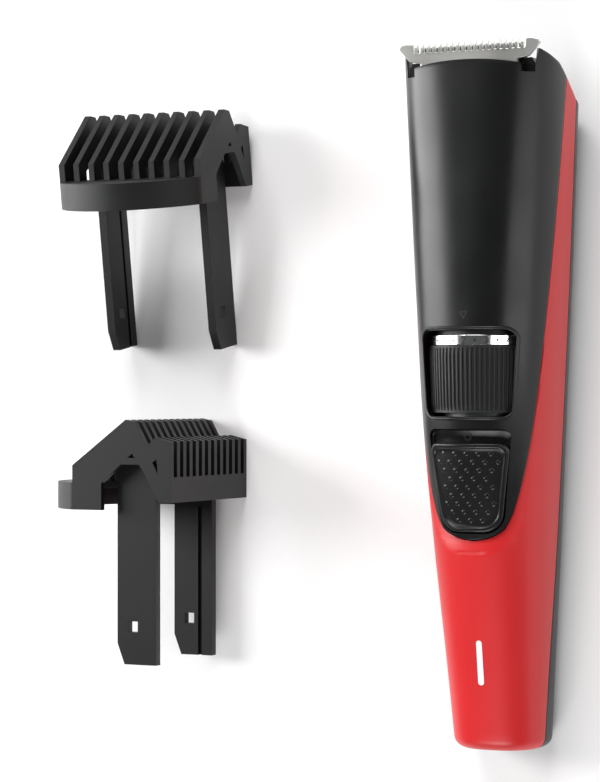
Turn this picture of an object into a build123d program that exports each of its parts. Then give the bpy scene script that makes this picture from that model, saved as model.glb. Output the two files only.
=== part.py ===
"""Cordless hair clipper with a length wheel and two clip-on guide combs, in millimetres.

The clipper lies on its flat back. +X is its width, +Y runs from the charging end to the blade, and +Z points
out of its front face. The origin is on the flat of the back, under the middle of the clipper's length.
Distances along the clipper are given as stations, measured from the charging end.
"""

import os
from math import atan2, cos, degrees, pi, sin, tan

from build123d import *

os.makedirs("parts", exist_ok=True)

# ---------------------------------------------------------------- driving dimensions
casing_length = 160.0
overall_length = 162.0
wall = 1.8
seam_gap = 0.2  # visible line between two casing parts
fit_gap = 0.35  # room between parts that don't touch
run_gap = 0.05  # radial room of a shaft or pin in its hole
seat_gap = 0.02  # between faces that seat on each other
far = 60.0  # longer than any cut needs
shield_start = 12.0  # cuts made in front view start at this height

# station, width, depth and front roundness (2 is an ellipse) of the casing
sections = (
    (0.0, 21.6, 18.8, 2.4),
    (20.0, 24.0, 22.3, 2.4),
    (48.0, 27.8, 27.3, 2.4),
    (76.0, 30.9, 31.6, 2.4),
    (104.0, 33.6, 32.4, 2.5),
    (134.0, 36.1, 32.3, 2.8),
    (casing_length, 38.0, 32.0, 3.2),
)
widest_share = 0.42  # height of the widest place, as a share of the depth
back_power = 3.5
back_sink = 0.35  # the back bulges this far and is cut flat
outline_points = 14
base_round = 2.4

seam_height = 9.0  # back shell below, side shell above
panel_line = ((170.0, 14.4), (54.5, 25.3), (46.5, 31.0))  # station, height where the front panel starts
panel_tip_radius = 7.0
bevel_line = ((96.0, 21.3), (55.5, 23.2), (51.0, 23.9), (44.6, 27.4), (42.0, 29.5))
bevel_depth = 0.6
head_line = ((162.0, 27.0), (160.0, 27.0), (157.0, 20.0), (150.0, 9.6), (146.0, -3.0))
blade_shelf = (157.6, 27.2)  # the casing's front stops here, station and height
arch_rise = 1.6
arch_half_width = 15.0
notch_x = (13.0, 15.6)  # comb leg slots
notch_station, notch_height = 154.4, 21.0

window_bottom, window_top = 77.0, 96.6
window_half_bottom, window_half_top = 10.2, 11.5
window_radius = 2.2
rim_width, rim_height = 0.9, 0.4

wheel_axis = 19.4  # height
wheel_bottom, wheel_top = 77.9, 93.1
wheel_radius_bottom, wheel_radius_top = 12.1, 12.6
wheel_ribs = 72
rib_groove = 0.3
ring_radius, ring_height = 12.5, 2.4
drum_radius, drum_end = 11.2, 111.5
sleeve_radius, sleeve_wall = 9.4, 1.2
setting_angle = 24.0  # wheel turn for one more millimetre of hair
setting_step = 1.0
last_setting = 9
shown_setting = 2
groove_radius, follower_radius = 1.2, 1.05

recess_top, recess_bottom = 74.2, 50.4
recess_half_top, recess_half_bottom = 10.2, 7.4
recess_radius_top, recess_radius_bottom = 1.8, 5.0
recess_depth, recess_floor = 1.6, 1.2
button_top = 70.9
button_gap = 0.4
button_proud = 0.5
button_rim = 1.1
button_travel = 3.0
link_size = (4.0, 4.0)  # width, length
link_station = 60.0
link_lean = 0.6  # the link leans back this far where it passes the recess floor

light_bottom, light_top, light_width = 15.4, 25.9, 1.5
light_flange, light_flange_depth = 0.8, 0.6
# station, distance across and size of the board's chips
chips = ((36.0, 0.0, 4.0), (43.0, 2.2, 2.0), (43.0, -2.2, 2.0), (49.0, 0.0, 3.0), (31.0, 2.6, 1.4))

cell_radius, cell_height = 7.1, 9.6
cell_start, cell_end = 14.4, 62.6
terminal_height, terminal_radius = 0.8, 2.6
tab_half, tab_thick = 2.0, 0.2
board_start, board_end = (22.6, 18.2), (73.0, 24.1)  # station and height of its top face
board_half_width, board_thickness = 5.0, 1.0
switch_width, switch_length, switch_height = 8.0, 10.0, 2.4
knob_width, knob_length = 1.6, 1.6

socket_height = 9.9
socket_width, socket_depth, socket_length, socket_wall = 7.0, 2.2, 5.6, 0.4
socket_sink = 0.5
tongue_size, tongue_sink = (4.6, 0.7), 0.8

motor_start, motor_end = 115.0, 136.0
motor_width, motor_depth, motor_wall = 19.0, 15.4, 0.8
motor_axis = 14.4
cap_thickness = 1.6
shaft_radius, shaft_start, shaft_end = 1.0, 115.6, 142.6
armature_radius = 5.6
disc_radius, disc_start = 3.4, 140.0
pin_radius, pin_offset, pin_end = 1.1, 0.9, 147.2

tooth_pitch, tooth_slot, tooth_count = 1.44, 0.72, 19
blade_thickness, blade_front = 1.0, 28.9
blade_half, stem_half = 17.2, 11.8
blade_start, wing_start, tooth_root = 150.0, 158.0, 159.9
cutter_gap, cutter_thickness, cutter_half, cutter_stroke = 0.1, 0.9, 10.9, 0.9
cutter_short = 0.7
spring_thickness = 0.3
holder_half, holder_start = 12.5, 148.6
post_x, post_station, post_radius = 8.8, 154.6, 1.4
fork_start, fork_end = 143.4, 147.4
arm_half, arm_front, arm_back = 4.7, 150.4, 152.6
blade_screw_radius = 1.5

screw_places = ((-7.4, 67.2), (7.4, 67.2), (-9.2, 140.6), (9.2, 140.6))
screw_radius, screw_head_radius, screw_head = 1.0, 1.9, 1.3
screw_sink, screw_end, screw_slot = 0.4, 8.2, 0.45
boss_radius, boss_top = 2.7, 3.4

leg_outer, leg_thickness, leg_width, leg_height = 15.2, 2.1, 10.5, 17.3
rail_inner, rail_thickness, rail_half, rail_end = 11.9, 1.2, 3.8, 130.0
carriage_start, carriage_end = 98.6, 102.0
hook_station, hook_size = 124.0, 0.5

comb_width, comb_wall, comb_rib_width = 39.0, 1.6, 1.5
comb_front, comb_back = 22.0, -16.8  # how far it reaches before and behind the front of its legs
skirt_height, skirt_bow = 6.5, 12.0
bar_low, bar_top, bar_front = 2.0, 8.0, -13.4
leg_length, leg_window, leg_window_up, leg_window_share = 36.8, 2.6, 9.0, 0.4
leg_groove, leg_groove_share = 1.0, 0.68
leg_root, leg_chamfer = 12.5, (1.9, 5.0)
ridge_front, ridge_top = -4.6, 21.5
comb_places = ((-89.0, 129.0), (-88.0, 54.5))  # width and station of each comb's skirt foot
comb_rib_counts = (10, 13)

half_length = overall_length / 2
blade_back = blade_front - blade_thickness
cutter_front = blade_back - cutter_gap
cutter_back = cutter_front - cutter_thickness
holder_top = cutter_back - spring_thickness - 0.1
wheel_point = (0, wheel_axis)


# ---------------------------------------------------------------- frames and forms
def along(station):
    """Y of a station."""
    return station - half_length


def across(station, height=0.0):
    """Plane square to the length at a station: its x is -X, its y is up, its normal points to the blade."""
    return Plane(origin=(0, along(station), height), x_dir=(-1, 0, 0), z_dir=(0, 1, 0))


def outline(width, depth, front_power, inset):
    """Points around one section: a flat-backed oval with a rounder front."""
    half, centre = width / 2 - inset, widest_share * depth
    points = []
    for i in range(outline_points):
        a = 2 * pi * (i + 0.5) / outline_points
        rise, power = (depth - centre - inset, front_power) if sin(a) > 0 else (centre - inset, back_power)
        x = half * abs(cos(a)) ** (2 / power) * (1 if cos(a) > 0 else -1)
        z = rise * abs(sin(a)) ** (2 / power) * (1 if sin(a) > 0 else -1)
        points.append((x, centre - back_sink + z))
    return points


def casing_form(inset):
    """The whole casing as one solid, moved inwards by inset."""
    with BuildPart() as form:
        for station, width, depth, front_power in sections:
            with BuildSketch(across(station)):
                with BuildLine():
                    Spline(*outline(width, depth, front_power, inset), periodic=True)
                make_face()
        loft()
    return form.part


def side_prism(line, radius=0.0, lift=0.0, half=far):
    """Everything over a side-view line of (station, height) points, lifted by lift."""
    points = [(along(s), z + lift) for s, z in line]
    with BuildPart() as region:
        with BuildSketch(Plane.YZ) as side:
            with BuildLine():
                FilletPolyline(*points, radius=radius) if radius else Polyline(*points)
                Polyline(points[-1], (points[-1][0], far), (points[0][0], far), points[0])
            make_face()
        extrude(amount=half, both=True)
    return region.part


def side_block(points, half):
    """A prism across the width from a closed side-view outline of (station, height) points."""
    with BuildPart() as made:
        with BuildSketch(Plane.YZ):
            with BuildLine():
                Polyline(*[(along(s), z) for s, z in points], close=True)
            make_face()
        extrude(amount=half, both=True)
    return made.part


def block(x, station, z):
    """A box from (low, high) pairs in width, station and height."""
    with BuildPart() as made:
        with BuildSketch(Plane.XY.offset(z[0])):
            with Locations(((x[0] + x[1]) / 2, along((station[0] + station[1]) / 2))):
                Rectangle(x[1] - x[0], station[1] - station[0])
        extrude(amount=z[1] - z[0])
    return made.part


def rod(station, radius, centre=(0, 0)):
    """A cylinder along the length, from a (start, end) pair of stations; centre is width and height."""
    with BuildPart() as made:
        with BuildSketch(across(station[0], centre[1])):
            with Locations((-centre[0], 0)):
                Circle(radius)
        extrude(amount=station[1] - station[0])
    return made.part


def shield(half_top, half_bottom, top, bottom, radius_top, radius_bottom, grow=0.0):
    """A prism through the front half of the casing, from an outline in front view."""
    corners = (
        (-half_top, along(top)),
        (half_top, along(top)),
        (half_bottom, along(bottom)),
        (-half_bottom, along(bottom)),
    )
    with BuildPart() as made:
        with BuildSketch(Plane.XY.offset(shield_start)) as face:
            with BuildLine():
                Polyline(*corners, close=True)
            make_face()
            fillet(face.vertices().group_by(Axis.Y)[-1], radius_top)
            fillet(face.vertices().group_by(Axis.Y)[0], radius_bottom)
            if grow:
                offset(amount=grow)
        extrude(amount=far)
    return made.part


def save(part, name):
    """Labels one finished piece and writes it."""
    part.label = name
    export_step(part, f"parts/{name}.step")


socket_outer = (socket_width / 2 + socket_wall, socket_depth + 2 * socket_wall)


def socket_form(station, grow=0.0):
    """The charging socket's rounded outline as a prism along the length."""
    with BuildPart() as made:
        with BuildSketch(across(station[0], socket_height)):
            RectangleRounded(2 * (socket_outer[0] + grow), socket_outer[1] + 2 * grow, socket_depth / 3)
        extrude(amount=station[1] - station[0])
    return made.part


outer_form = casing_form(0)
window_args = (window_half_top, window_half_bottom, window_top, window_bottom, window_radius, window_radius)
recess_args = (
    recess_half_top,
    recess_half_bottom,
    recess_top,
    recess_bottom,
    recess_radius_top,
    recess_radius_bottom,
)
light_args = (light_width / 2, light_width / 2, light_top, light_bottom, light_width / 2.1, light_width / 2.1)
floor_form = casing_form(recess_depth)

# ---------------------------------------------------------------- casing
with BuildPart() as casing:
    add(outer_form)
    fillet(casing.faces().sort_by(Axis.Y)[0].edges(), base_round)
    split(bisect_by=Plane.XY, keep=Keep.TOP)
    kept = [(-far, -far), (-far, far), (head_line[0][0], far), *head_line, (head_line[-1][0], -far)]
    add(side_block(kept, far), mode=Mode.INTERSECT)
    with BuildPart(mode=Mode.SUBTRACT):
        add(casing_form(wall))
        add(block((-far, far), (wall, casing_length + far), (wall - back_sink, far)), mode=Mode.INTERSECT)
    # The blade's shelf, and the slots beside it for a comb's legs.
    shelf_cut = [blade_shelf, (200, blade_shelf[1]), (200, far), (blade_shelf[0], far)]
    add(side_block(shelf_cut, far), mode=Mode.SUBTRACT)
    for side in (-1, 1):
        x = sorted((side * notch_x[0], side * notch_x[1]))
        add(block(x, (notch_station, 200), (notch_height, far)), mode=Mode.SUBTRACT)
    # The panel's top edge is arched, and thinned inside for the blade.
    with BuildSketch(Plane.XY.offset(blade_shelf[1])):
        with BuildLine():
            low, top = along(blade_shelf[0] - arch_rise), along(blade_shelf[0])
            right_end, left_end = (arch_half_width, low), (-arch_half_width, low)
            ThreePointArc(left_end, (0, top), right_end)
            Polyline(right_end, (far, low), (far, far * 2), (-far, far * 2), (-far, low), left_end)
        make_face()
    extrude(amount=far, mode=Mode.SUBTRACT)
    stem, stem_heights = stem_half + fit_gap, (notch_height, blade_front + fit_gap)
    add(block((-stem, stem), (blade_start - fit_gap, 200), stem_heights), mode=Mode.SUBTRACT)
    add(shield(*light_args), mode=Mode.SUBTRACT)
    add(socket_form((-1, wall + 1), run_gap), mode=Mode.SUBTRACT)
    # Room for the wheel and its drum, which are wider than the casing's inside.
    wheel_ends = (wheel_bottom - fit_gap, wheel_top + ring_height + fit_gap)
    wheel_room = rod(wheel_ends, wheel_radius_top + fit_gap, wheel_point)
    add(wheel_room, mode=Mode.SUBTRACT)
    add(rod((wheel_top, drum_end + fit_gap), drum_radius + fit_gap, wheel_point), mode=Mode.SUBTRACT)

with BuildPart() as back_shell:
    add(casing.part)
    split(bisect_by=Plane.XY.offset(seam_height - seam_gap / 2), keep=Keep.BOTTOM)
    with Locations(*[(x, along(s), 0) for x, s in screw_places]):
        Cylinder(boss_radius, boss_top, align=(Align.CENTER, Align.CENTER, Align.MIN))
        Cylinder(screw_radius + fit_gap / 2, far, mode=Mode.SUBTRACT)
        Cylinder(screw_head_radius + fit_gap / 2, 2 * (screw_sink + screw_head), mode=Mode.SUBTRACT)
save(back_shell.part, "back_shell")

with BuildPart() as side_shell:
    add(casing.part)
    split(bisect_by=Plane.XY.offset(seam_height + seam_gap / 2), keep=Keep.TOP)
    add(side_prism(panel_line, panel_tip_radius, -seam_gap / 2), mode=Mode.SUBTRACT)
    with BuildPart(mode=Mode.PRIVATE) as bevel:
        add(side_prism(bevel_line, 0, 0))
        add(casing_form(bevel_depth), mode=Mode.SUBTRACT)
    add(bevel.part, mode=Mode.SUBTRACT)
    # The button's recess reaches past the panel's tip, and its floor lies under the shell's edge there.
    with BuildPart(mode=Mode.SUBTRACT):
        add(shield(*recess_args, grow=recess_floor + seam_gap))
        add(casing_form(recess_depth - seam_gap), mode=Mode.INTERSECT)
    add(shield(*recess_args), mode=Mode.SUBTRACT)
save(side_shell.part, "side_shell")

with BuildPart() as front_panel:
    add(casing.part)
    add(side_prism(panel_line, panel_tip_radius, seam_gap / 2), mode=Mode.INTERSECT)
    # The recess floor hangs inside the wall, and the rim stands round the window.
    with BuildPart(mode=Mode.PRIVATE) as floor:
        add(shield(*recess_args, grow=recess_floor))
        add(floor_form, mode=Mode.INTERSECT)
        add(casing_form(recess_depth + recess_floor), mode=Mode.SUBTRACT)
    with BuildPart(mode=Mode.PRIVATE) as rim:
        add(shield(*window_args, grow=rim_width))
        add(casing_form(-rim_height), mode=Mode.INTERSECT)
        add(casing_form(wall / 2), mode=Mode.SUBTRACT)
    with BuildPart(mode=Mode.PRIVATE) as recess:
        add(shield(*recess_args))
        add(floor_form, mode=Mode.SUBTRACT)
    add(floor.part)
    add(rim.part)
    add(wheel_room, mode=Mode.SUBTRACT)
    add(recess.part, mode=Mode.SUBTRACT)
    add(shield(*window_args), mode=Mode.SUBTRACT)
    # The button's link passes the floor here.
    slot_half = link_size[0] / 2 + fit_gap
    slot_reach = link_size[1] / 2 + fit_gap
    slot_stations = (link_station - slot_reach - link_lean, link_station + slot_reach + button_travel)
    add(block((-slot_half, slot_half), slot_stations, (0, far)), mode=Mode.SUBTRACT)
save(front_panel.part, "front_panel")

# ---------------------------------------------------------------- power button and its switch
board_angle = atan2(board_end[1] - board_start[1], board_end[0] - board_start[0])


def board_height(station):
    """Height of the board's top face at a station."""
    return board_start[1] + (station - board_start[0]) * tan(board_angle)


def on_board(station, rise=0.0):
    """Plane over the board's top face at a station, raised square to the board, its y along the board."""
    lean, upright = sin(board_angle), cos(board_angle)
    return Plane(
        origin=(0, along(station) - rise * lean, board_height(station) + rise * upright),
        x_dir=(1, 0, 0),
        z_dir=(0, -lean, upright),
    )


def on_board_box(width, station, length, rise, height, x=0.0):
    """A box standing on the board."""
    with BuildPart() as made:
        with BuildSketch(on_board(station, rise)):
            with Locations((x, 0)):
                Rectangle(width, length)
        extrude(amount=height)
    return made.part


link_foot = switch_height + fit_gap  # heights over the board
knob_foot, knob_top = switch_height / 3 + 0.3, link_foot + 1.1
button_args = (
    recess_half_top - button_gap,
    recess_half_bottom - button_gap,
    button_top,
    recess_bottom + button_gap,
    recess_radius_top,
    recess_radius_bottom - button_gap,
)
with BuildPart() as power_button:
    add(shield(*button_args))
    add(casing_form(-button_proud), mode=Mode.INTERSECT)
    add(casing_form(recess_depth - button_gap), mode=Mode.SUBTRACT)
    with BuildPart(mode=Mode.PRIVATE) as dish:
        add(shield(*button_args, grow=-button_rim))
        add(outer_form, mode=Mode.SUBTRACT)
    add(dish.part, mode=Mode.SUBTRACT)
    with BuildPart(mode=Mode.PRIVATE) as link:
        add(on_board_box(link_size[0], link_station, link_size[1], link_foot, far))
        add(outer_form, mode=Mode.INTERSECT)
        add(block((-far, far), (0, overall_length), (0, far)), mode=Mode.INTERSECT)
        knob_room = on_board_box(
            knob_width + 2 * run_gap, link_station, knob_length + 2 * run_gap, 0, knob_top + fit_gap
        )
        add(knob_room, mode=Mode.SUBTRACT)
    add(link.part)
save(power_button.part, "power_button")

switch_station = link_station + button_travel / 2
with BuildPart() as switch_body:
    add(on_board_box(switch_width, switch_station, switch_length, seat_gap, switch_height - seat_gap))
    room = (knob_width + 2 * fit_gap, knob_length + button_travel + 2 * fit_gap)
    add(on_board_box(room[0], switch_station, room[1], switch_height / 3, far), mode=Mode.SUBTRACT)
save(switch_body.part, "switch_body")

with BuildPart() as switch_knob:
    add(on_board_box(knob_width, link_station, knob_length, knob_foot, knob_top - knob_foot))
save(switch_knob.part, "switch_knob")

# ---------------------------------------------------------------- circuit board, light, charging socket
board_length = (board_end[0] - board_start[0]) / cos(board_angle)
board_middle = (board_start[0] + board_end[0]) / 2
with BuildPart() as circuit_board:
    add(on_board_box(2 * board_half_width, board_middle, board_length, -board_thickness, board_thickness))
save(circuit_board.part, "circuit_board")

with BuildPart() as board_chips:
    for station, x, size in chips:
        add(on_board_box(size, station, size, seat_gap, board_thickness, x))
save(board_chips.part, "board_chips")

led_station = light_top - 1.2
with BuildPart() as charge_led:
    add(on_board_box(light_width, led_station, light_width, seat_gap, board_thickness))
save(charge_led.part, "charge_led")

with BuildPart() as light_pipe:
    add(shield(*light_args, grow=-run_gap))
    add(outer_form, mode=Mode.INTERSECT)
    add(casing_form(wall + light_flange_depth / 2), mode=Mode.SUBTRACT)
    # Its flange seats against the wall from inside.
    with BuildPart(mode=Mode.PRIVATE) as flange:
        add(shield(*light_args, grow=light_flange))
        add(casing_form(wall + seat_gap), mode=Mode.INTERSECT)
        add(casing_form(wall + light_flange_depth), mode=Mode.SUBTRACT)
    add(flange.part)
save(light_pipe.part, "light_pipe")

with BuildPart() as charging_socket:
    add(socket_form((socket_sink, socket_sink + socket_length)))
    add(socket_form((-1, socket_sink + socket_length - socket_wall), -socket_wall), mode=Mode.SUBTRACT)
save(charging_socket.part, "charging_socket")

with BuildPart() as socket_tongue:
    with BuildSketch(across(socket_sink + tongue_sink, socket_height)):
        Rectangle(*tongue_size)
    extrude(amount=socket_length - tongue_sink - socket_wall)
save(socket_tongue.part, "socket_tongue")

# ---------------------------------------------------------------- cell
cell_point = (0, cell_height)
with BuildPart() as battery_cell:
    add(rod((cell_start, cell_end - terminal_height), cell_radius, cell_point))
    fillet(battery_cell.edges(), 0.6)
    add(rod((cell_end - 2 * terminal_height, cell_end), terminal_radius, cell_point))
save(battery_cell.part, "battery_cell")

with BuildPart() as cell_tabs:
    for low, high, top in (
        (cell_start - tab_thick, cell_start, board_height(board_start[0]) - board_thickness),
        (cell_end, cell_end + tab_thick, board_height(cell_end) - board_thickness),
    ):
        add(block((-tab_half, tab_half), (low, high), (cell_height - 2, top)))
    # The lower tab runs on to the board over the cell.
    low_top = board_height(board_start[0]) - board_thickness
    run = (cell_start - tab_thick, board_start[0] + tab_half / 2)
    add(block((-tab_half, tab_half), run, (low_top - tab_thick, low_top)))
save(cell_tabs.part, "cell_tabs")

# ---------------------------------------------------------------- chassis
trough_radius = cell_radius + 0.8
bulkhead = (75.8, 77.2)
cradle = (drum_end + 1.0, drum_end + 2.6)
cradle_wall, cradle_gap = 1.1, 0.1
motor_half, motor_low = motor_width / 2, motor_axis - motor_depth / 2
deck_low = motor_low - cradle_gap - cradle_wall
wall_top = motor_axis - 1.0
pillar_radius, bridge_half = 2.4, 6.0
with BuildPart() as chassis:
    add(rod((cell_start - 1.6, cell_end + 1.8), trough_radius, cell_point))
    add(rod((cell_start - 0.3, cell_end + 0.3), cell_radius + run_gap, cell_point), mode=Mode.SUBTRACT)
    add(block((-far, far), (0, cell_end + 3), (cell_height, far)), mode=Mode.SUBTRACT)
    # Bridge from the cell's trough to the wheel's sleeve.
    bridge_low, bridge_top = cell_height - 1.0, wheel_axis - sleeve_radius + 2.6
    add(block((-bridge_half, bridge_half), (cell_end + 0.4, bulkhead[1]), (bridge_low, bridge_top)))
    trough_half, trough_ends = bridge_half - 1.5, (cell_end + 2.2, bulkhead[1] - 3)
    add(block((-trough_half, trough_half), trough_ends, (bridge_low + 1.6, far)), mode=Mode.SUBTRACT)
    add(rod((bulkhead[0], cradle[1]), sleeve_radius, wheel_point))
    # The motor's cradle.
    add(block((-motor_half, motor_half), cradle, (deck_low, wheel_axis + 4)))
    outer_half = motor_half + cradle_gap + cradle_wall
    add(block((-outer_half, outer_half), (cradle[0], fork_start - 0.6), (deck_low, wall_top)))
    inner_half = motor_half + cradle_gap
    inside = (deck_low + cradle_wall, far)
    add(block((-inner_half, inner_half), (cradle[1], far * 3), inside), mode=Mode.SUBTRACT)
    add(rod((bulkhead[0] + 1, cradle[1] + 1), sleeve_radius - sleeve_wall, wheel_point), mode=Mode.SUBTRACT)
    add(rod((0, cradle[0]), sleeve_radius / 2, wheel_point), mode=Mode.SUBTRACT)
    # Screw pillars.
    with Locations(*[(x, along(s), boss_top) for x, s in screw_places]):
        Cylinder(pillar_radius, screw_end - boss_top + 1.2, align=(Align.CENTER, Align.CENTER, Align.MIN))
        Cylinder(screw_radius + run_gap, 2 * (screw_end - boss_top + 0.3), mode=Mode.SUBTRACT)
save(chassis.part, "chassis")

with BuildPart() as casing_screws:
    with Locations(*[(x, along(s), screw_sink) for x, s in screw_places]):
        Cylinder(screw_head_radius, screw_head, align=(Align.CENTER, Align.CENTER, Align.MIN))
        Cylinder(screw_radius, screw_end - screw_sink, align=(Align.CENTER, Align.CENTER, Align.MIN))
        for turn in (0, 90):
            Box(screw_head_radius, screw_slot, screw_head, rotation=(0, 0, turn), mode=Mode.SUBTRACT)
save(casing_screws.part, "casing_screws")

# ---------------------------------------------------------------- length wheel and comb carriage
ring_start = wheel_top
shoulder = ring_radius - 0.9
with BuildPart() as zoom_wheel:
    with BuildSketch(Plane.YZ):
        with BuildLine():
            Polyline(
                (along(wheel_bottom), wheel_axis + sleeve_radius + run_gap),
                (along(wheel_bottom), wheel_axis + wheel_radius_bottom),
                (along(wheel_top), wheel_axis + wheel_radius_top),
                (along(wheel_top), wheel_axis + shoulder),
                (along(ring_start + ring_height), wheel_axis + shoulder),
                (along(ring_start + ring_height), wheel_axis + drum_radius),
                (along(drum_end), wheel_axis + drum_radius),
                (along(drum_end), wheel_axis + sleeve_radius + run_gap),
                close=True,
            )
        make_face()
    wheel_line = Axis((0, 0, wheel_axis), (0, 1, 0))
    revolve(axis=wheel_line)
    # Finger ribs all round, left between narrow grooves.
    flare = degrees(atan2(wheel_radius_top - wheel_radius_bottom, wheel_top - wheel_bottom))
    middle = (wheel_bottom + wheel_top) / 2
    with Locations(across(middle, wheel_axis)):
        with PolarLocations((wheel_radius_bottom + wheel_radius_top) / 2, wheel_ribs):
            Cylinder(rib_groove, wheel_top - wheel_bottom - 1.0, rotation=(0, flare, 0), mode=Mode.SUBTRACT)
lead = setting_step * 360 / setting_angle
groove_turn = setting_angle * (last_setting + 1.2)
follower_station = (carriage_start + carriage_end) / 2
groove_low = follower_station - setting_step * (shown_setting + 0.6)
groove_length = lead * groove_turn / 360
# The groove passes under the wheel just where the follower sits.
groove_start = -90 - 360 * (follower_station - groove_low) / lead
with BuildPart() as groove:
    with BuildLine() as path:
        Helix(lead, groove_length, drum_radius)
    with BuildSketch(Plane(origin=path.line @ 0, z_dir=path.line % 0)):
        Circle(groove_radius)
    sweep(is_frenet=True)
groove_place = across(groove_low, wheel_axis).location * Rotation(0, 0, groove_start)
with BuildPart() as grooved_wheel:
    add(zoom_wheel.part)
    add(groove.part.moved(groove_place), mode=Mode.SUBTRACT)
save(grooved_wheel.part, "zoom_wheel")

with BuildPart() as scale_ring:
    add(rod((ring_start, ring_start + ring_height), ring_radius, wheel_point))
    add(rod((0, far * 3), shoulder, wheel_point), mode=Mode.SUBTRACT)
    fillet(scale_ring.edges().filter_by(GeomType.CIRCLE).group_by(SortBy.RADIUS)[-1], 0.2)
save(scale_ring.part, "scale_ring")

with BuildPart() as comb_carriage:
    hoop_inner = drum_radius + fit_gap
    add(rod((carriage_start, carriage_end), hoop_inner + rail_thickness, wheel_point))
    add(block((-far, far), (0, overall_length), (wheel_axis, far)), mode=Mode.SUBTRACT)
    add(rod((0, overall_length), hoop_inner, wheel_point), mode=Mode.SUBTRACT)
    rail_z = (leg_height - rail_half, leg_height + rail_half)
    for side in (-1, 1):
        rail_face = side * (rail_inner + rail_thickness)
        add(block(sorted((side * rail_inner, rail_face)), (carriage_start, rail_end), rail_z))
        hook_x = sorted((rail_face, rail_face + side * hook_size))
        hook_half = leg_window / 2 - fit_gap
        hook_z = (leg_height - hook_half, leg_height + hook_half)
        add(block(hook_x, (hook_station - hook_half, hook_station + hook_half), hook_z))
    # The follower's ball rides in the wheel's groove.
    with Locations((0, along(follower_station), wheel_axis - drum_radius)):
        Sphere(follower_radius)
        reach = hoop_inner - drum_radius + 0.5
        Cylinder(follower_radius * 0.8, reach, align=(Align.CENTER, Align.CENTER, Align.MAX))
save(comb_carriage.part, "comb_carriage")

# ---------------------------------------------------------------- motor
motor_point = (0, motor_axis)


def motor_form(station, inset):
    """The motor's flat-sided round outline as a prism along the length."""
    with BuildPart() as made:
        with BuildSketch(across(station[0], motor_axis)):
            with BuildSketch(mode=Mode.PRIVATE) as flats:
                Rectangle(far, motor_depth - 2 * inset)
            Circle(motor_width / 2 - inset)
            add(flats.sketch, mode=Mode.INTERSECT)
        extrude(amount=station[1] - station[0])
    return made.part


can_start = motor_start + cap_thickness
with BuildPart() as motor_can:
    add(motor_form((can_start, motor_end), 0))
    add(motor_form((can_start, motor_end - motor_wall), motor_wall), mode=Mode.SUBTRACT)
    add(rod((motor_end - motor_wall, motor_end + 1.2), 3.0, motor_point))
    add(rod((0, overall_length), shaft_radius + run_gap, motor_point), mode=Mode.SUBTRACT)
save(motor_can.part, "motor_can")

with BuildPart() as motor_cap:
    add(motor_form((motor_start, can_start), 0))
    add(motor_form((can_start, can_start + 1.2), motor_wall))
    add(rod((can_start, can_start + 1.2), motor_depth / 2 - motor_wall - 1.0, motor_point), mode=Mode.SUBTRACT)
    bearing_depth = (shaft_start - 0.1, overall_length)
    add(rod(bearing_depth, shaft_radius + run_gap, motor_point), mode=Mode.SUBTRACT)
save(motor_cap.part, "motor_cap")

magnet_inner, magnet_outer = armature_radius + fit_gap, motor_depth / 2 - motor_wall - 0.05
magnet_span = (can_start + 2.2, motor_end - motor_wall - 1.0)
with BuildPart() as motor_magnets:
    add(rod(magnet_span, magnet_outer, motor_point))
    add(rod((0, overall_length), magnet_inner, motor_point), mode=Mode.SUBTRACT)
    add(block((-3.0, 3.0), (0, overall_length), (0, far)), mode=Mode.SUBTRACT)
save(motor_magnets.part, "motor_magnets")

with BuildPart() as motor_rotor:
    add(rod((shaft_start, shaft_end), shaft_radius, motor_point))
    add(rod((can_start + 0.4, can_start + 2.6), shaft_radius * 2, motor_point))
    add(rod((magnet_span[0] + 0.8, magnet_span[1]), armature_radius, motor_point))
    with Locations(across((magnet_span[0] + magnet_span[1]) / 2, motor_axis)):
        with PolarLocations(armature_radius, 3):
            Box(3.0, 1.2, far, mode=Mode.SUBTRACT)
save(motor_rotor.part, "motor_rotor")

with BuildPart() as eccentric:
    add(rod((disc_start, shaft_end), disc_radius, motor_point))
    add(rod((0, shaft_end), shaft_radius, motor_point), mode=Mode.SUBTRACT)
    add(rod((shaft_end, shaft_end + 0.4), disc_radius, motor_point))
    add(rod((shaft_end, pin_end), pin_radius, (0, motor_axis + pin_offset)))
save(eccentric.part, "eccentric")

# ---------------------------------------------------------------- cutting head


def toothed_plate(half, start, heights, count, root, tip):
    """A blade: a plate with straight-sided teeth along its front edge."""
    with BuildPart() as made:
        with BuildSketch(Plane.XY.offset(heights[0])):
            with Locations((0, along((start + tip) / 2))):
                Rectangle(2 * half, tip - start)
            with Locations((0, along(tip))):
                with GridLocations(tooth_pitch, 1, count, 1):
                    with BuildLine(mode=Mode.PRIVATE) as gap:
                        foot, mouth, reach = tooth_slot / 2, tooth_slot * 0.75, tip - root
                        Polyline((-foot, -reach), (foot, -reach), (mouth, 0.1), (-mouth, 0.1), close=True)
                    add(make_face(gap.edges(), mode=Mode.PRIVATE), mode=Mode.SUBTRACT)
        extrude(amount=heights[1] - heights[0])
    return made.part


post_places = ((-post_x, along(post_station)), (post_x, along(post_station)))
with BuildPart() as fixed_blade:
    heights = (blade_back, blade_front)
    add(toothed_plate(blade_half, wing_start, heights, tooth_count, tooth_root, overall_length))
    add(block((-stem_half, stem_half), (blade_start, wing_start), (blade_back, blade_front)))
    with Locations(*[(x, y, blade_back) for x, y in post_places]):
        Cylinder(blade_screw_radius, far, mode=Mode.SUBTRACT)
    for side in (-1, 1):
        corner = (side * blade_half, along(overall_length), 0)
        chamfer(fixed_blade.edges().filter_by(Axis.Z).sort_by_distance(corner)[0], 0.9)
save(fixed_blade.part, "fixed_blade")

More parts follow.
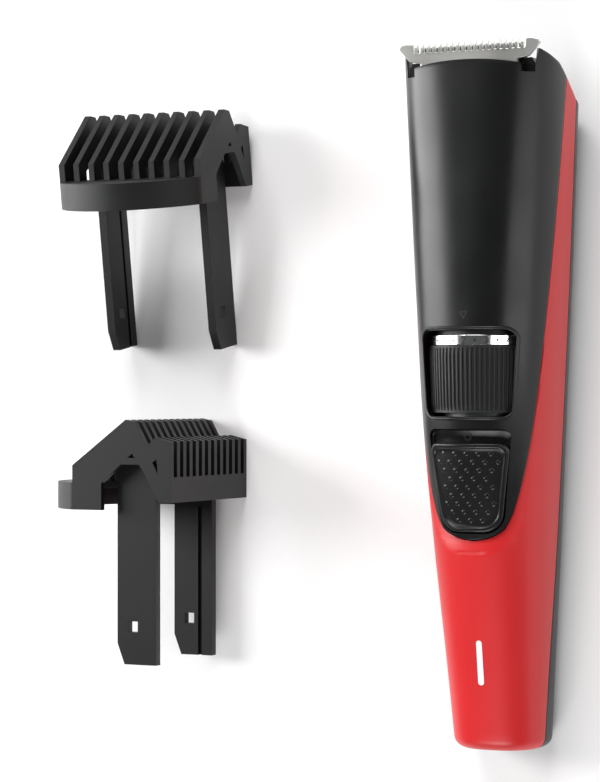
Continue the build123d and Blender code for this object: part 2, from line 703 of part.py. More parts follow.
cutter_tip = overall_length - cutter_short
with BuildPart() as cutter:
    heights = (cutter_back, cutter_front)
    add(toothed_plate(cutter_half, arm_front - 0.3, heights, tooth_count - 4, tooth_root - 0.2, cutter_tip))
    with Locations(*[(x, y, cutter_back) for x, y in post_places]):
        clear = post_radius + fit_gap
        Box(2 * (clear + cutter_stroke), 2 * clear, far, mode=Mode.SUBTRACT)
save(cutter.part, "cutter")

slot_half = pin_radius + pin_offset + cutter_stroke + 0.15
with BuildPart() as cutter_driver:
    fork_low, arm_low, arm_top = 11.2, 17.4, 20.2
    driver_line = [
        (fork_start, fork_low),
        (fork_end, fork_low),
        (fork_end, arm_low),
        (arm_back, arm_low),
        (arm_back, cutter_back),
        (arm_front, cutter_back),
        (arm_front, arm_top),
        (fork_start, arm_top),
    ]
    add(side_block(driver_line, arm_half))
    fork_roof = motor_axis + pin_offset + pin_radius + fit_gap
    add(block((-slot_half, slot_half), (fork_start - 1, fork_end + 1), (0, fork_roof)), mode=Mode.SUBTRACT)
save(cutter_driver.part, "cutter_driver")

with BuildPart() as blade_holder:
    holder_line = [
        (145.8, 3.8),
        (147.7, 3.8),
        (149.6, 9.8),
        (156.4, 20.0),
        (159.1, 26.3),
        (159.1, holder_top),
        (holder_start, holder_top),
        (holder_start, 12.5),
        (147.8, 10.2),
    ]
    add(side_block(holder_line, holder_half))
    channel = [(120.0, 15.0), (151.5, 15.0), (154.8, 20.0), (155.6, 22.0), (155.6, far), (120.0, far)]
    add(side_block(channel, arm_half + cutter_stroke + fit_gap), mode=Mode.SUBTRACT)
    foot_top = deck_low + cradle_wall + 1.2
    add(block((-6.0, 6.0), (fork_start - 2.4, 147.5), (deck_low + cradle_wall, foot_top)))
    with Locations(*[(x, y, holder_top) for x, y in post_places]):
        Cylinder(post_radius, blade_back - holder_top, align=(Align.CENTER, Align.CENTER, Align.MIN))
        Cylinder(post_radius * 0.6, 2 * (blade_back - holder_top), mode=Mode.SUBTRACT)
save(blade_holder.part, "blade_holder")

with BuildPart() as blade_spring:
    spring_z = (holder_top, holder_top + spring_thickness)
    add(block((-11.0, 11.0), (holder_start + 0.2, arm_front - 0.4), spring_z))
    for side in (-1, 1):
        add(block(sorted((side * 6.2, side * 11.2)), (holder_start + 0.2, 158.0), spring_z))
    with Locations(*[(x, y, holder_top) for x, y in post_places]):
        Cylinder(post_radius + run_gap, far, mode=Mode.SUBTRACT)
save(blade_spring.part, "blade_spring")

with BuildPart() as blade_screws:
    with Locations(*[(x, y, blade_front) for x, y in post_places]):
        Cylinder(blade_screw_radius, blade_thickness, align=(Align.CENTER, Align.CENTER, Align.MAX))
        Cylinder(post_radius * 0.6, 2.2, align=(Align.CENTER, Align.CENTER, Align.MAX))
        Box(2.0, 0.4, 0.9, mode=Mode.SUBTRACT)
save(blade_screws.part, "blade_screws")

# ---------------------------------------------------------------- leads


def lead_wires(points, radius=0.45, spread=1.4):
    """A pair of insulated wires side by side along (width, station, height) points."""
    with BuildPart() as made:
        for shift in (-spread / 2, spread / 2):
            with BuildLine() as path:
                Spline(*[(x + shift, along(s), z) for x, s, z in points])
            with BuildSketch(Plane(origin=path.line @ 0, z_dir=path.line % 0)):
                Circle(radius)
            sweep()
    return made.part


board_under = board_height(board_end[0] - 1.5) - board_thickness
board_lead = (0, board_end[0] - 1.0, board_under - 0.4)
motor_run = ((0, 79.0, wheel_axis), (0, 96.0, wheel_axis), (0, 110.0, 17.0))
motor_leads = lead_wires((board_lead, *motor_run, (0, motor_start - 0.1, 15.6)))
save(motor_leads, "motor_leads")
socket_back = (0, socket_sink + socket_length + 0.15, socket_height)
charge_run = ((0, 9.0, 12.2), (0, 13.0, 17.3), (0, 16.0, 18.05), (0, 19.0, 18.2))
board_lead = (0, board_start[0] - 0.2, board_start[1] - board_thickness / 2)
charge_leads = lead_wires((socket_back, *charge_run, board_lead), 0.4, 1.2)
save(charge_leads, "charge_leads")

# ---------------------------------------------------------------- guide combs


def guide_comb(rib_count):
    """A comb in its own frame: +Y the way its ribs point, +Z its front, the skirt's foot at zero."""
    half = comb_width / 2
    front = comb_front - skirt_bow
    # Outlines of a rib, a cheek and a leg seen from the side, as (depth, height) points.
    arch = [(front, skirt_height), (front, 10.6), (ridge_front, ridge_top), (ridge_front - 2.5, ridge_top - 0.5)]
    arch += [(comb_back + 6.4, bar_top + 7.2), (comb_back + 4.2, bar_top + 9.4)]
    arch += [(comb_back, bar_top + 8.4), (comb_back, bar_top - 1)]
    under = [(bar_front, bar_top - 1), (bar_front + 0.4, bar_top + 4.2), (comb_back + 6.4, bar_top + 2.6)]
    under += [(ridge_front - 1.8, ridge_top - 5.5), (front - 3.6, 8.6), (front - 3.6, skirt_height)]
    cheek = [(front, 0), *arch[1:4], (bar_front, bar_top + 0.5), (comb_back, bar_top), (comb_back, bar_low)]
    cheek += [(bar_front, bar_low), (bar_front + 3.2, bar_top), (ridge_front - 1.8, ridge_top - 8.0)]
    cheek += [(2.0, skirt_height), (2.0, 0)]
    leg_back, tip = -leg_width, -leg_length
    leg = [(leg_back, leg_root), (leg_back, tip), (-leg_chamfer[0], tip), (0, tip + leg_chamfer[1]), (0, leg_root)]
    foot = leg_root - comb_wall
    shoulder = [(leg_back, foot), (leg_back, leg_root), (0, leg_root), (0, foot)]
    bar = [(comb_back, bar_low), (comb_back, bar_top), (bar_front, bar_top), (bar_front, bar_low)]
    pitch = (comb_width - comb_rib_width) / (rib_count - 1)
    slabs = [(arch + under, i * pitch - half, i * pitch - half + comb_rib_width) for i in range(rib_count)]
    for side in (-1, 1):
        slabs.append((cheek, *sorted((side * half, side * (half - comb_wall)))))
        slabs.append((leg, *sorted((side * leg_outer, side * (leg_outer - leg_thickness)))))
        slabs.append((shoulder, *sorted((side * half, side * (leg_outer - leg_thickness)))))
    slabs.append((bar, -half, half))
    with BuildPart() as comb:
        for points, low, high in slabs:
            with BuildSketch(Plane.YZ.offset(low)):
                with BuildLine():
                    Polyline(*[(y, z) for z, y in points], close=True)
                make_face()
            extrude(amount=high - low)
        # The D-shaped skirt and its top plate.
        skirt_room = (comb_wall, -1, skirt_height - comb_wall, Mode.SUBTRACT)
        for grow, low, high, mode in ((0, 0, skirt_height, Mode.ADD), skirt_room):
            with BuildSketch(Plane(origin=(0, low, 0), x_dir=(-1, 0, 0), z_dir=(0, 1, 0))):
                with BuildLine():
                    foot = front - skirt_bow / 3 - grow
                    Line((grow - half, front), (grow - half, foot))
                    Line((grow - half, foot), (half - grow, foot))
                    Line((half - grow, foot), (half - grow, front))
                    ThreePointArc((half - grow, front), (0, comb_front - grow), (grow - half, front))
                make_face()
            extrude(amount=high - low, mode=mode)
        # The windows that snap over the carriage's hooks, and a groove along each leg's inner face.
        with Locations((0, leg_window_up - leg_length, leg_back * leg_window_share)):
            Box(far, leg_window, leg_window, mode=Mode.SUBTRACT)
        for side in (-1, 1):
            with Locations((side * (leg_outer - leg_thickness), -leg_length / 2, leg_back * leg_groove_share)):
                Box(2 * leg_groove, leg_length, leg_groove, mode=Mode.SUBTRACT)
    return comb.part


# One comb rests on its legs' tips and its bar, the other lies on its side with the bar towards the clipper.
bar_tilt = degrees(atan2(-leg_width - comb_back, leg_length + bar_low))
for name, ribs, (x, station), turn in (
    ("guide_comb_upper", comb_rib_counts[0], comb_places[0], Rotation(bar_tilt, 0, 0)),
    ("guide_comb_lower", comb_rib_counts[1], comb_places[1], Rotation(0, -90, 0)),
):
    turned = guide_comb(ribs).moved(turn)
    save(turned.moved(Location((x, along(station), -turned.bounding_box().min.Z))), name)
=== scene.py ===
"""Looks of a cordless hair clipper: satin black and red casing, ground steel blade, chrome scale, two combs."""

import math

import bmesh
import bpy
import numpy as np
from mathutils import Matrix, Vector


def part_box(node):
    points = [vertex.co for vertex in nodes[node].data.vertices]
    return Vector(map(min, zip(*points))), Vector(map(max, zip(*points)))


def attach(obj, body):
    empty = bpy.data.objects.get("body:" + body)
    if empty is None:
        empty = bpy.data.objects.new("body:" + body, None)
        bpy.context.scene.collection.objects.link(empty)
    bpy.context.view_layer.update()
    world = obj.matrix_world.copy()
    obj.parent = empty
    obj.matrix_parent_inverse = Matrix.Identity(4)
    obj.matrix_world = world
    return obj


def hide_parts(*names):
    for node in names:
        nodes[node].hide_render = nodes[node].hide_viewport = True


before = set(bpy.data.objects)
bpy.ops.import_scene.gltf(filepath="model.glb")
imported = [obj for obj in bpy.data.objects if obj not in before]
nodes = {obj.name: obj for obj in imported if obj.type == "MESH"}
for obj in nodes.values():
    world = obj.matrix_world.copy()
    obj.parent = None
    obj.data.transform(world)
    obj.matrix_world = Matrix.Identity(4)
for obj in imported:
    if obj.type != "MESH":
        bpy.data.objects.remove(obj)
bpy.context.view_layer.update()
MM = 0.001

# ------------------------------------------------------------------ sizes, in millimetres
OVERALL = 162.0  # from the charging end to the tips of the blade's teeth
CASING_END = 160.0
SECTIONS = (  # station from the charging end, width, depth, roundness of the front
    (0.0, 21.6, 18.8, 2.4),
    (20.0, 24.0, 22.3, 2.4),
    (48.0, 27.8, 27.3, 2.4),
    (76.0, 30.9, 31.6, 2.4),
    (104.0, 33.6, 32.4, 2.5),
    (134.0, 36.1, 32.3, 2.8),
    (CASING_END, 38.0, 32.0, 3.2),
)
WIDEST = 0.42  # share of the depth at which a section is widest
BACK_POWER = 3.5  # roundness of a section's back half
BACK_SINK = 0.35  # each section is lowered by this and cut off at the rest plane, which flattens the back
BASE_ROUND = 2.6  # rounding of the charging end
SEAM = 9.0  # height of the line between side and back shells
HALF_GAP = 0.11  # half the gap between two shells
WALL = 1.7
# (station, height) of the front panel's edge on the casing's side, and of the sloping band that follows it
PANEL_LINE = ((46.3, 31.5), (47.2, 28.9), (48.8, 27.2), (51.5, 25.9), (55.0, 25.25), (170.0, 14.4))
BEVEL_LINE = ((43.2, 31.5), (44.2, 28.0), (46.2, 25.9), (50.0, 24.2), (56.0, 23.3), (96.0, 21.3), (100.0, 20.9))
BEVEL_DEPTH = 0.75
HEAD_LINE = ((-3.0, 146.0), (9.6, 150.0), (20.0, 157.0), (26.9, 159.8))  # height, station
SHELF = 27.3  # height over which the head's front edge is an arch in front view
SHELF_STATION, ARCH_RISE, ARCH_HALF = 157.6, 1.6, 15.0
# Openings in the front: half widths at top and bottom, top, bottom, corner radii at top and bottom
WINDOW = (11.5, 10.2, 96.6, 77.0, 2.2, 2.2)
RECESS = (10.2, 7.4, 74.2, 50.4, 1.8, 5.0)
BUTTON = (9.8, 7.0, 70.9, 50.8, 1.8, 4.6)
LIGHT = (0.75, 0.75, 25.9, 15.4, 0.7, 0.7)
RECESS_DEPTH = 1.6
CUT_LOW, CUT_HIGH = 12.0, 50.0  # heights between which an opening in the front is cut
NOTCH_IN, NOTCH_OUT, NOTCH_LOW, NOTCH_HIGH = 13.0, 15.6, 154.4, 170.0  # the notches beside the blade
NOTCH_FLOOR = 21.0
SOCKET_ROOM = (0.1, 8.0, 0.1)  # how much larger than the socket its opening is, along X, Y and Z
RIM_WIDTH, RIM_HEIGHT = 0.9, 0.4


# ------------------------------------------------------------------ materials
def srgb(code):
    """An sRGB hex colour as linear RGBA."""
    parts = [int(code[i : i + 2], 16) / 255 for i in (1, 3, 5)]
    return [c / 12.92 if c <= 0.04045 else ((c + 0.055) / 1.055) ** 2.4 for c in parts] + [1.0]


def add_node(tree, kind, settings=None, links=None):
    """Adds a node: settings are attributes or input values, links join other sockets to its inputs."""
    node = tree.nodes.new(kind)
    for key, value in (settings or {}).items():
        if isinstance(key, str) and hasattr(node, key):
            setattr(node, key, value)
        else:
            node.inputs[key].default_value = value
    for key, socket in (links or {}).items():
        tree.links.new(socket, node.inputs[key])
    return node


CLOUD_SCALE = 90.0  # clouds about 11 mm across, in which colour and roughness drift
COAT_ROUGHNESS = 0.3


def finish_of(
    name, colour, roughness, metallic=0.0, ior=None, coat=0.0, grain=0.3, bump=0.004, drift=0.06, run=None
):
    """A material whose colour and roughness drift a little, over a fine grain.

    coat is the weight of a clear coat; grain is the grain's size and bump its height, in mm; drift is how far
    colour and roughness wander; run is the grain's scale along X, Y and Z, for a surface ground or drawn one way.
    """
    made = bpy.data.materials.new(name)
    made.use_nodes = True
    tree = made.node_tree
    shader = tree.nodes["Principled BSDF"]
    shader.inputs["Metallic"].default_value = metallic
    if ior:
        shader.inputs["IOR"].default_value = ior
    shader.inputs["Coat Weight"].default_value = coat
    shader.inputs["Coat Roughness"].default_value = COAT_ROUGHNESS
    spot = add_node(tree, "ShaderNodeTexCoord")
    clouds = add_node(
        tree, "ShaderNodeTexNoise", {"Scale": CLOUD_SCALE, "Detail": 3.0}, {"Vector": spot.outputs["Object"]}
    )
    rough = add_node(
        tree,
        "ShaderNodeMapRange",
        {"To Min": roughness - drift, "To Max": roughness + drift},
        {"Value": clouds.outputs["Fac"]},
    )
    tree.links.new(rough.outputs["Result"], shader.inputs["Roughness"])
    shade = add_node(tree, "ShaderNodeValToRGB", {}, {"Fac": clouds.outputs["Fac"]})
    for stop, gain in zip(shade.color_ramp.elements, (1 - drift, 1 + drift)):
        stop.color = [min(c * gain, 1.0) for c in srgb(colour)[:3]] + [1.0]
    tree.links.new(shade.outputs["Color"], shader.inputs["Base Color"])
    drawn = add_node(tree, "ShaderNodeMapping", {"Scale": run or (1, 1, 1)}, {"Vector": spot.outputs["Object"]})
    fine = add_node(
        tree, "ShaderNodeTexNoise", {"Scale": 1 / (grain * MM), "Detail": 2.0}, {"Vector": drawn.outputs["Vector"]}
    )
    relief = add_node(tree, "ShaderNodeBump", {"Distance": bump * MM}, {"Height": fine.outputs["Fac"]})
    tree.links.new(relief.outputs["Normal"], shader.inputs["Normal"])
    return made


# Moulded ABS with a fine spark-eroded grain: near black, broad soft highlights.
abs_black = finish_of("abs_moulded_satin_black", "#090a0a", 0.33, ior=1.46)
# Painted ABS: saturated red under a clear satin coat, so its highlights stay soft but bright.
abs_red = finish_of("abs_painted_satin_red", "#cb1d20", 0.42, ior=1.46, coat=0.12, drift=0.03)
# Moulded polypropylene of the combs: flatter and darker than the casing.
pp_black = finish_of("polypropylene_moulded_black", "#0b0c0c", 0.48, ior=1.42, grain=0.4)
# Stainless steel ground across its width: light grey with fine lines along X.
steel_ground = finish_of(
    "stainless_steel_ground", "#dddcd8", 0.3, 1.0, grain=0.4, bump=0.008, drift=0.08, run=(0.05, 1, 1)
)
# The cutter: the same steel, darkened as painted shade so it reads as shadow between the teeth.
steel_painted_shade = finish_of("stainless_steel_painted_shade", "#3c3b3e", 0.4, 1.0, grain=0.4, run=(0.05, 1, 1))
# Chromed ABS of the scale ring: a hard mirror with the faintest waviness.
chrome = finish_of("chrome_plated_abs", "#cfd0d2", 0.16, 1.0, grain=4.0, bump=0.002, drift=0.02)
# Soft-touch elastomer of the wheel: matt, so only the tops of its ribs catch light.
elastomer = finish_of("elastomer_matt_dark", "#161717", 0.55, ior=1.5, grain=0.2, bump=0.006)
# Printed figures on the scale: flat black ink.
ink = finish_of("printing_ink_black", "#0c0c0c", 0.6, ior=1.5)
# Acrylic of the light: milky white with a smooth face.
opal = finish_of("acrylic_opal_white", "#f4f5f0", 0.25, ior=1.49, bump=0.001, drift=0.02)
# Acetal of the inner pieces: mid grey, waxy sheen.
acetal = finish_of("acetal_moulded_grey", "#4a4c4d", 0.42, ior=1.48, grain=0.5)
# Black oxide on the screws: dark metal with a dull shine.
steel_black = finish_of("steel_black_oxide", "#1d1e1f", 0.42, 1.0)
# Nickel plate: bright, slightly yellow, softly reflecting.
nickel = finish_of("nickel_plated_steel", "#bdbab2", 0.28, 1.0, grain=0.6, run=(1, 0.1, 1))
# Laminated iron of the rotor: dull grey-brown metal, lined round the shaft.
iron = finish_of("laminated_iron", "#6f6862", 0.5, 1.0, grain=0.5, bump=0.02, run=(0.1, 1, 0.1))
# Sintered ferrite magnets: dark, dry and slightly rough.
ferrite = finish_of("sintered_ferrite", "#2c2c2e", 0.65, ior=1.5, grain=0.15, bump=0.01)
# Turned brass of the eccentric: yellow metal with a clear shine.
brass = finish_of("turned_brass", "#c9a557", 0.28, 1.0, grain=0.3, run=(1, 0.1, 1))
# Solder mask over the board: deep green, glossy.
solder_mask = finish_of("epoxy_board_green_mask", "#1a4a2a", 0.3, ior=1.5, grain=0.8)
# Moulded epoxy of chips, switch and motor cap: charcoal, dry.
epoxy = finish_of("epoxy_moulded_charcoal", "#1f2020", 0.55, ior=1.5, grain=0.2)
# Shrink sleeve on the cell: blue, glossy and tight.
sleeve = finish_of("shrink_sleeve_blue", "#23508c", 0.25, ior=1.5, grain=1.5, bump=0.01)
# Vinyl insulation of the leads: black, slightly shiny.
vinyl = finish_of("vinyl_insulation_black", "#151515", 0.4, ior=1.5)
# Lacquered table top, pale and matt.
table_white = finish_of("table_lacquer_pale", "#f7f7f7", 0.7, ior=1.45, grain=1.0, bump=0.002, drift=0.01)

finish_by_node = {
    "chassis": acetal,
    "casing_screws": steel_black,
    "circuit_board": solder_mask,
    "board_chips": epoxy,
    "charge_led": opal,
    "light_pipe": opal,
    "charging_socket": nickel,
    "socket_tongue": epoxy,
    "battery_cell": sleeve,
    "cell_tabs": nickel,
    "switch_body": epoxy,
    "switch_knob": acetal,
    "motor_can": nickel,
    "motor_cap": epoxy,
    "motor_magnets": ferrite,
    "motor_rotor": iron,
    "eccentric": brass,
    "motor_leads": vinyl,
    "charge_leads": vinyl,
    "blade_holder": abs_black,
    "blade_spring": nickel,
    "blade_screws": steel_black,
    "cutter_driver": acetal,
    "zoom_wheel": elastomer,
    "scale_ring": chrome,
    "comb_carriage": acetal,
}
for name, material in finish_by_node.items():
    for holder in nodes[name].material_slots:
        holder.material = material


# ------------------------------------------------------------------ casing form
def smooth_row(station):
    """Width, depth and roundness of the casing at a station, on a smooth curve through the sections."""
    rows = SECTIONS
    i = min(max(sum(1 for r in rows if r[0] <= station) - 1, 0), len(rows) - 2)
    before, low, high, after = rows[max(i - 1, 0)], rows[i], rows[i + 1], rows[min(i + 2, len(rows) - 1)]
    span = high[0] - low[0]
    t = (station - low[0]) / span
    values = []
    for k in (1, 2, 3):
        flat = (high[k] - low[k]) / span
        enter = (high[k] - before[k]) / (high[0] - before[0]) if i else flat
        leave = (after[k] - low[k]) / (after[0] - low[0]) if i + 2 < len(rows) else flat
        a = t * t * (3 - 2 * t)
        values.append(
            low[k] * (1 - a) + high[k] * a + span * (enter * t * (1 - t) ** 2 - leave * t * t * (1 - t))
        )
    return values


def base_inset(station):
    """How far the rounded charging end draws the casing in."""
    left = BASE_ROUND - station
    return BASE_ROUND - math.sqrt(BASE_ROUND**2 - left**2) if left > 0 else 0.0


def casing_xz(station, angle, inset=0.0):
    """Width and height of the casing's surface at an angle round its section."""
    width, depth, front = smooth_row(station)
    inset += base_inset(station)
    centre = WIDEST * depth
    rise, power = (depth - centre - inset, front) if math.sin(angle) > 0 else (centre - inset, BACK_POWER)
    x = (width / 2 - inset) * math.copysign(abs(math.cos(angle)) ** (2 / power), math.cos(angle))
    z = centre - BACK_SINK + rise * math.copysign(abs(math.sin(angle)) ** (2 / power), math.sin(angle))
    return x, max(z, inset)


def angle_at(station, height, inset=0.0):
    """Angle, on the right-hand side, where the section passes a height."""
    width, depth, front = smooth_row(station)
    inset += base_inset(station)
    centre = WIDEST * depth
    z = height - centre + BACK_SINK
    rise, power = (depth - centre - inset, front) if z > 0 else (centre - inset, BACK_POWER)
    share = min(abs(z) / rise, 1.0)
    return math.copysign(math.asin(share ** (power / 2)), z)


def front_height(x, station, inset=0.0):
    """Height of the front surface at a place in front view."""
    width, depth, front = smooth_row(station)
    centre = WIDEST * depth
    share = min(abs(x) / (width / 2 - inset), 1.0)
    return centre - BACK_SINK + (depth - centre - inset) * (1 - share**front) ** (1 / front)


def along_line(line, value):
    """Straight-line reading of a table of pairs."""
    return float(np.interp(value, [p[0] for p in line], [p[1] for p in line]))


def head_end(x, z):
    """Station where the casing ends at its head."""
    if z >= SHELF:
        return SHELF_STATION - ARCH_RISE * (x / ARCH_HALF) ** 2
    return along_line(HEAD_LINE, min(z, HEAD_LINE[-1][0]))


def place(x, station, z):
    """A point in metres from its distance across, its station and its height, in mm."""
    return Vector((x * MM, (station - OVERALL / 2) * MM, z * MM))


def mesh_object(name, points, faces, material, smooth=True):
    """A mesh in place, from points in metres."""
    made = bpy.data.meshes.new(name)
    made.from_pydata([tuple(p) for p in points], [], faces)
    made.materials.append(material)
    thing = bpy.data.objects.new(name, made)
    bpy.context.scene.collection.objects.link(thing)
    clean(thing)
    if smooth:
        made.shade_smooth()
    return thing


SAME_POINT, NO_LENGTH = 1e-7, 1e-8  # metres: points this close are one, edges this short are dropped


def clean(thing, outward=True):
    """Merges doubled points and turns the faces outwards."""
    form = bmesh.new()
    form.from_mesh(thing.data)
    bmesh.ops.remove_doubles(form, verts=form.verts, dist=SAME_POINT)
    bmesh.ops.dissolve_degenerate(form, edges=form.edges, dist=NO_LENGTH)
    if outward:
        bmesh.ops.recalc_face_normals(form, faces=form.faces)
    form.to_mesh(thing.data)
    form.free()


def settle(thing):
    """Turns what the modifiers show into the thing's own mesh."""
    depsgraph = bpy.context.evaluated_depsgraph_get()
    shown = bpy.data.meshes.new_from_object(thing.evaluated_get(depsgraph))
    thing.modifiers.clear()
    thing.data = shown
    return thing


def modify(thing, kind, **settings):
    """Adds one modifier and settles it."""
    step = thing.modifiers.new(kind.lower(), kind)
    for key, value in settings.items():
        setattr(step, key, value)
    return settle(thing)


def soften_edges(thing, width, angle=40):
    """Rounds edges sharper than an angle in degrees, over a width in mm."""
    modify(thing, "BEVEL", width=width * MM, segments=2, limit_method="ANGLE", angle_limit=math.radians(angle))


def smooth_up_to(thing, angle):
    """Shades a thing smooth except over edges sharper than an angle in degrees."""
    thing.data.shade_smooth()
    thing.data.set_sharp_from_angle(angle=math.radians(angle))


def grid_faces(rows, columns, wrap=False):
    """Faces of a grid of points stored row by row."""
    last = columns if wrap else columns - 1
    faces = []
    for r in range(rows - 1):
        for c in range(last):
            here, beside = r * columns + c, r * columns + (c + 1) % columns
            faces.append((here, beside, beside + columns, here + columns))
    return faces


TRIALS = 33  # angles at which a section's length is measured


def even_share(station, low, high, share, inset=0.0):
    """The angle at a share of the way along the surface from one angle to another."""
    trial = np.linspace(low, high, TRIALS)
    xz = np.array([casing_xz(station, a, inset) for a in trial])
    run = np.concatenate([[0], np.cumsum(np.hypot(*np.diff(xz, axis=0).T))])
    return float(np.interp(share * run[-1], run, trial)) if run[-1] else low


SPREAD = 130.0  # past this station the rows lean to meet the slanted head


def skin(stations, low_angle, high_angle, columns, depth_at=None):
    """Rows of surface points between two boundary angles, each given as a function of station."""
    rows = []
    for station in stations:
        row = []
        for c in range(columns):
            share = c / (columns - 1)
            at = station
            for _ in range(3):
                angle = even_share(at, low_angle(at), high_angle(at), share)
                x, z = casing_xz(at, angle)
                stretch = (head_end(x, z) - SPREAD) / (CASING_END - SPREAD)
                at = SPREAD + (station - SPREAD) * stretch if station > SPREAD else station
            inset = depth_at(at, z) if depth_at else 0.0
            angle = even_share(at, low_angle(at), high_angle(at), share)
            x, z = casing_xz(at, angle, inset)
            row.append(place(x, at, z))
        rows.append(row)
    return rows


CORE_HEIGHT = 13.0  # height of a line inside the casing, from which its faces look outwards
SHELL_EDGE, SHELL_SHARP, OPENING_SHARP = 0.18, 35, 32  # mm, then degrees


def shell(name, material, strips, wall=WALL):
    """A casing shell from strips of surface rows, given a wall and softened edges."""
    points, faces = [], []
    for rows in strips:
        start = len(points)
        points += [p for row in rows for p in row]
        faces += [tuple(start + k for k in face) for face in grid_faces(len(rows), len(rows[0]))]
    thing = mesh_object(name, points, faces, material)
    middle = Vector((0, 0, CORE_HEIGHT * MM))
    out = sum((f.normal.dot((f.center - middle) * Vector((1, 0, 1))) for f in thing.data.polygons))
    if out < 0:
        thing.data.flip_normals()
    modify(thing, "SOLIDIFY", thickness=wall * MM, offset=-1, use_even_offset=True)
    clean(thing)
    thing.data.set_sharp_from_angle(angle=math.radians(SHELL_SHARP))
    soften_edges(thing, SHELL_EDGE)
    return thing


def stations_between(low, high, count):
    """Evenly spaced stations, both ends included."""
    return [low + (high - low) * i / (count - 1) for i in range(count)]


# Rows of the skins: close on the rounded end, even along the body, closer again where the head slants.
END_ROWS, BODY_ROWS, HEAD_ROWS, HEAD_START = 6, 80, 16, 145.0
SKIPPED = 8  # even rows left out at the head, where the closer ones take over
ends = [BASE_ROUND * (1 - math.cos(i * math.pi / 2 / END_ROWS)) for i in range(END_ROWS)]
body_stations = ends + stations_between(BASE_ROUND, CASING_END, BODY_ROWS)[:-SKIPPED]
body_stations += stations_between(HEAD_START, CASING_END, HEAD_ROWS)
body_stations = sorted(set(round(s, 4) for s in body_stations))
BACK_COLUMNS, SIDE_COLUMNS, PANEL_COLUMNS = 61, 41, 81


def end_cap(rows, height):
    """Rows that close the charging end, drawn in towards its middle."""
    middle = place(0, 0, height)
    shares = (0.02, 0.3, 0.6, 0.9)
    return [[middle + (p - middle) * t for p in rows[0]] for t in shares] + rows


def seam_angle(station, gap):
    """Angle of the line between side and back shells, or of an edge a gap above it."""
    return angle_at(station, SEAM + gap)


back_low = SEAM - HALF_GAP
back_rows = skin(
    body_stations,
    lambda s: seam_angle(s, -HALF_GAP),
    lambda s: -math.pi - seam_angle(s, -HALF_GAP),
    BACK_COLUMNS,
)
back_shell = shell("back_shell_skin", abs_black, [end_cap(back_rows, back_low)])


def panel_angle(station, gap):
    """Angle where the front panel starts, or the very front below the panel's tip."""
    if station < PANEL_LINE[0][0]:
        return math.pi / 2
    return min(angle_at(station, along_line(PANEL_LINE, station) + gap), math.pi / 2)


TIP_BAND = 1.2  # the sloping band's height below the panel's tip


def bevel_inset(station, z):
    """Depth of the sloping band round the panel's lower end."""
    if station < BEVEL_LINE[0][0] or station > BEVEL_LINE[-1][0]:
        return 0.0
    low = along_line(BEVEL_LINE, station)
    high = along_line(PANEL_LINE, station) if station > PANEL_LINE[0][0] else low + TIP_BAND
    return BEVEL_DEPTH * min(max((z - low) / (high - low), 0.0), 1.0)


# The panel's lower end needs closer rows than the rest.
TIP_FROM, TIP_TO, TIP_ROWS, PANEL_TIP_ROWS, PANEL_START = 40.0, 60.0, 61, 50, 0.25
fine = stations_between(TIP_FROM, TIP_TO, TIP_ROWS)
side_stations = [s for s in body_stations if s < TIP_FROM or s > TIP_TO] + [round(s, 4) for s in fine]
side_stations = sorted(set(side_stations))
right_rows = skin(
    side_stations,
    lambda s: seam_angle(s, HALF_GAP),
    lambda s: panel_angle(s, -HALF_GAP),
    SIDE_COLUMNS,
    bevel_inset,
)
left_rows = [[Vector((-p.x, p.y, p.z)) for p in row] for row in right_rows]
side_low = SEAM + HALF_GAP
side_strips = [end_cap(right_rows, side_low), [row[::-1] for row in end_cap(left_rows, side_low)]]
side_shell = shell("side_shell_skin", abs_red, side_strips)
panel_stations = [s for s in side_stations if s > TIP_TO]
panel_stations += stations_between(PANEL_LINE[0][0] + PANEL_START, TIP_TO, PANEL_TIP_ROWS)
panel_rows = skin(
    sorted(panel_stations),
    lambda s: panel_angle(s, HALF_GAP),
    lambda s: math.pi - panel_angle(s, HALF_GAP),
    PANEL_COLUMNS,
)
front_panel = shell("front_panel_skin", abs_black, [panel_rows])


# ------------------------------------------------------------------ openings in the front
def rounded_outline(form, grow=0.0, arc=8, step=1.0):
    """Front-view points of a window or button outline: four corners with arcs, spaced along its sides."""
    half_top, half_bottom, top, bottom, round_top, round_bottom = form
    corners = [
        (-half_bottom, bottom, round_bottom),
        (half_bottom, bottom, round_bottom),
        (half_top, top, round_top),
        (-half_top, top, round_top),
    ]
    points = []
    for i, (x, y, r) in enumerate(corners):
        here = Vector((x, y))
        before, after = Vector(corners[i - 1][:2]), Vector(corners[(i + 1) % 4][:2])
        to_before, to_after = (before - here).normalized(), (after - here).normalized()
        half_angle = to_before.angle(to_after) / 2
        centre = here + (to_before + to_after).normalized() * (r / math.sin(half_angle))
        start = here + to_before * (r / math.tan(half_angle))
        turn = math.pi - 2 * half_angle
        radius = start - centre
        for k in range(arc + 1):
            a = turn * k / arc
            spun = Matrix.Rotation(a, 2) @ radius
            points.append(centre + spun * ((r + grow) / r))
    even = []
    for a, b in zip(points, points[1:] + points[:1]):
        parts = max(1, round((b - a).length / step))
        even += [a + (b - a) * k / parts for k in range(parts)]
    return even


def prism(name, outline, low, high, material):
    """A closed upright prism from a front-view outline of (across, station) points."""
    count = len(outline)
    points = [place(x, s, z) for z in (low, high) for x, s in outline]
    faces = [tuple(range(count)), tuple(range(count, 2 * count))]
    faces += [(i, (i + 1) % count, count + (i + 1) % count, count + i) for i in range(count)]
    return mesh_object(name, points, faces, material, smooth=False)


def cut(thing, tool):
    """Takes a tool's shape out of a thing, and drops the tool."""
    modify(thing, "BOOLEAN", object=tool, operation="DIFFERENCE", solver="EXACT")
    bpy.data.objects.remove(tool)


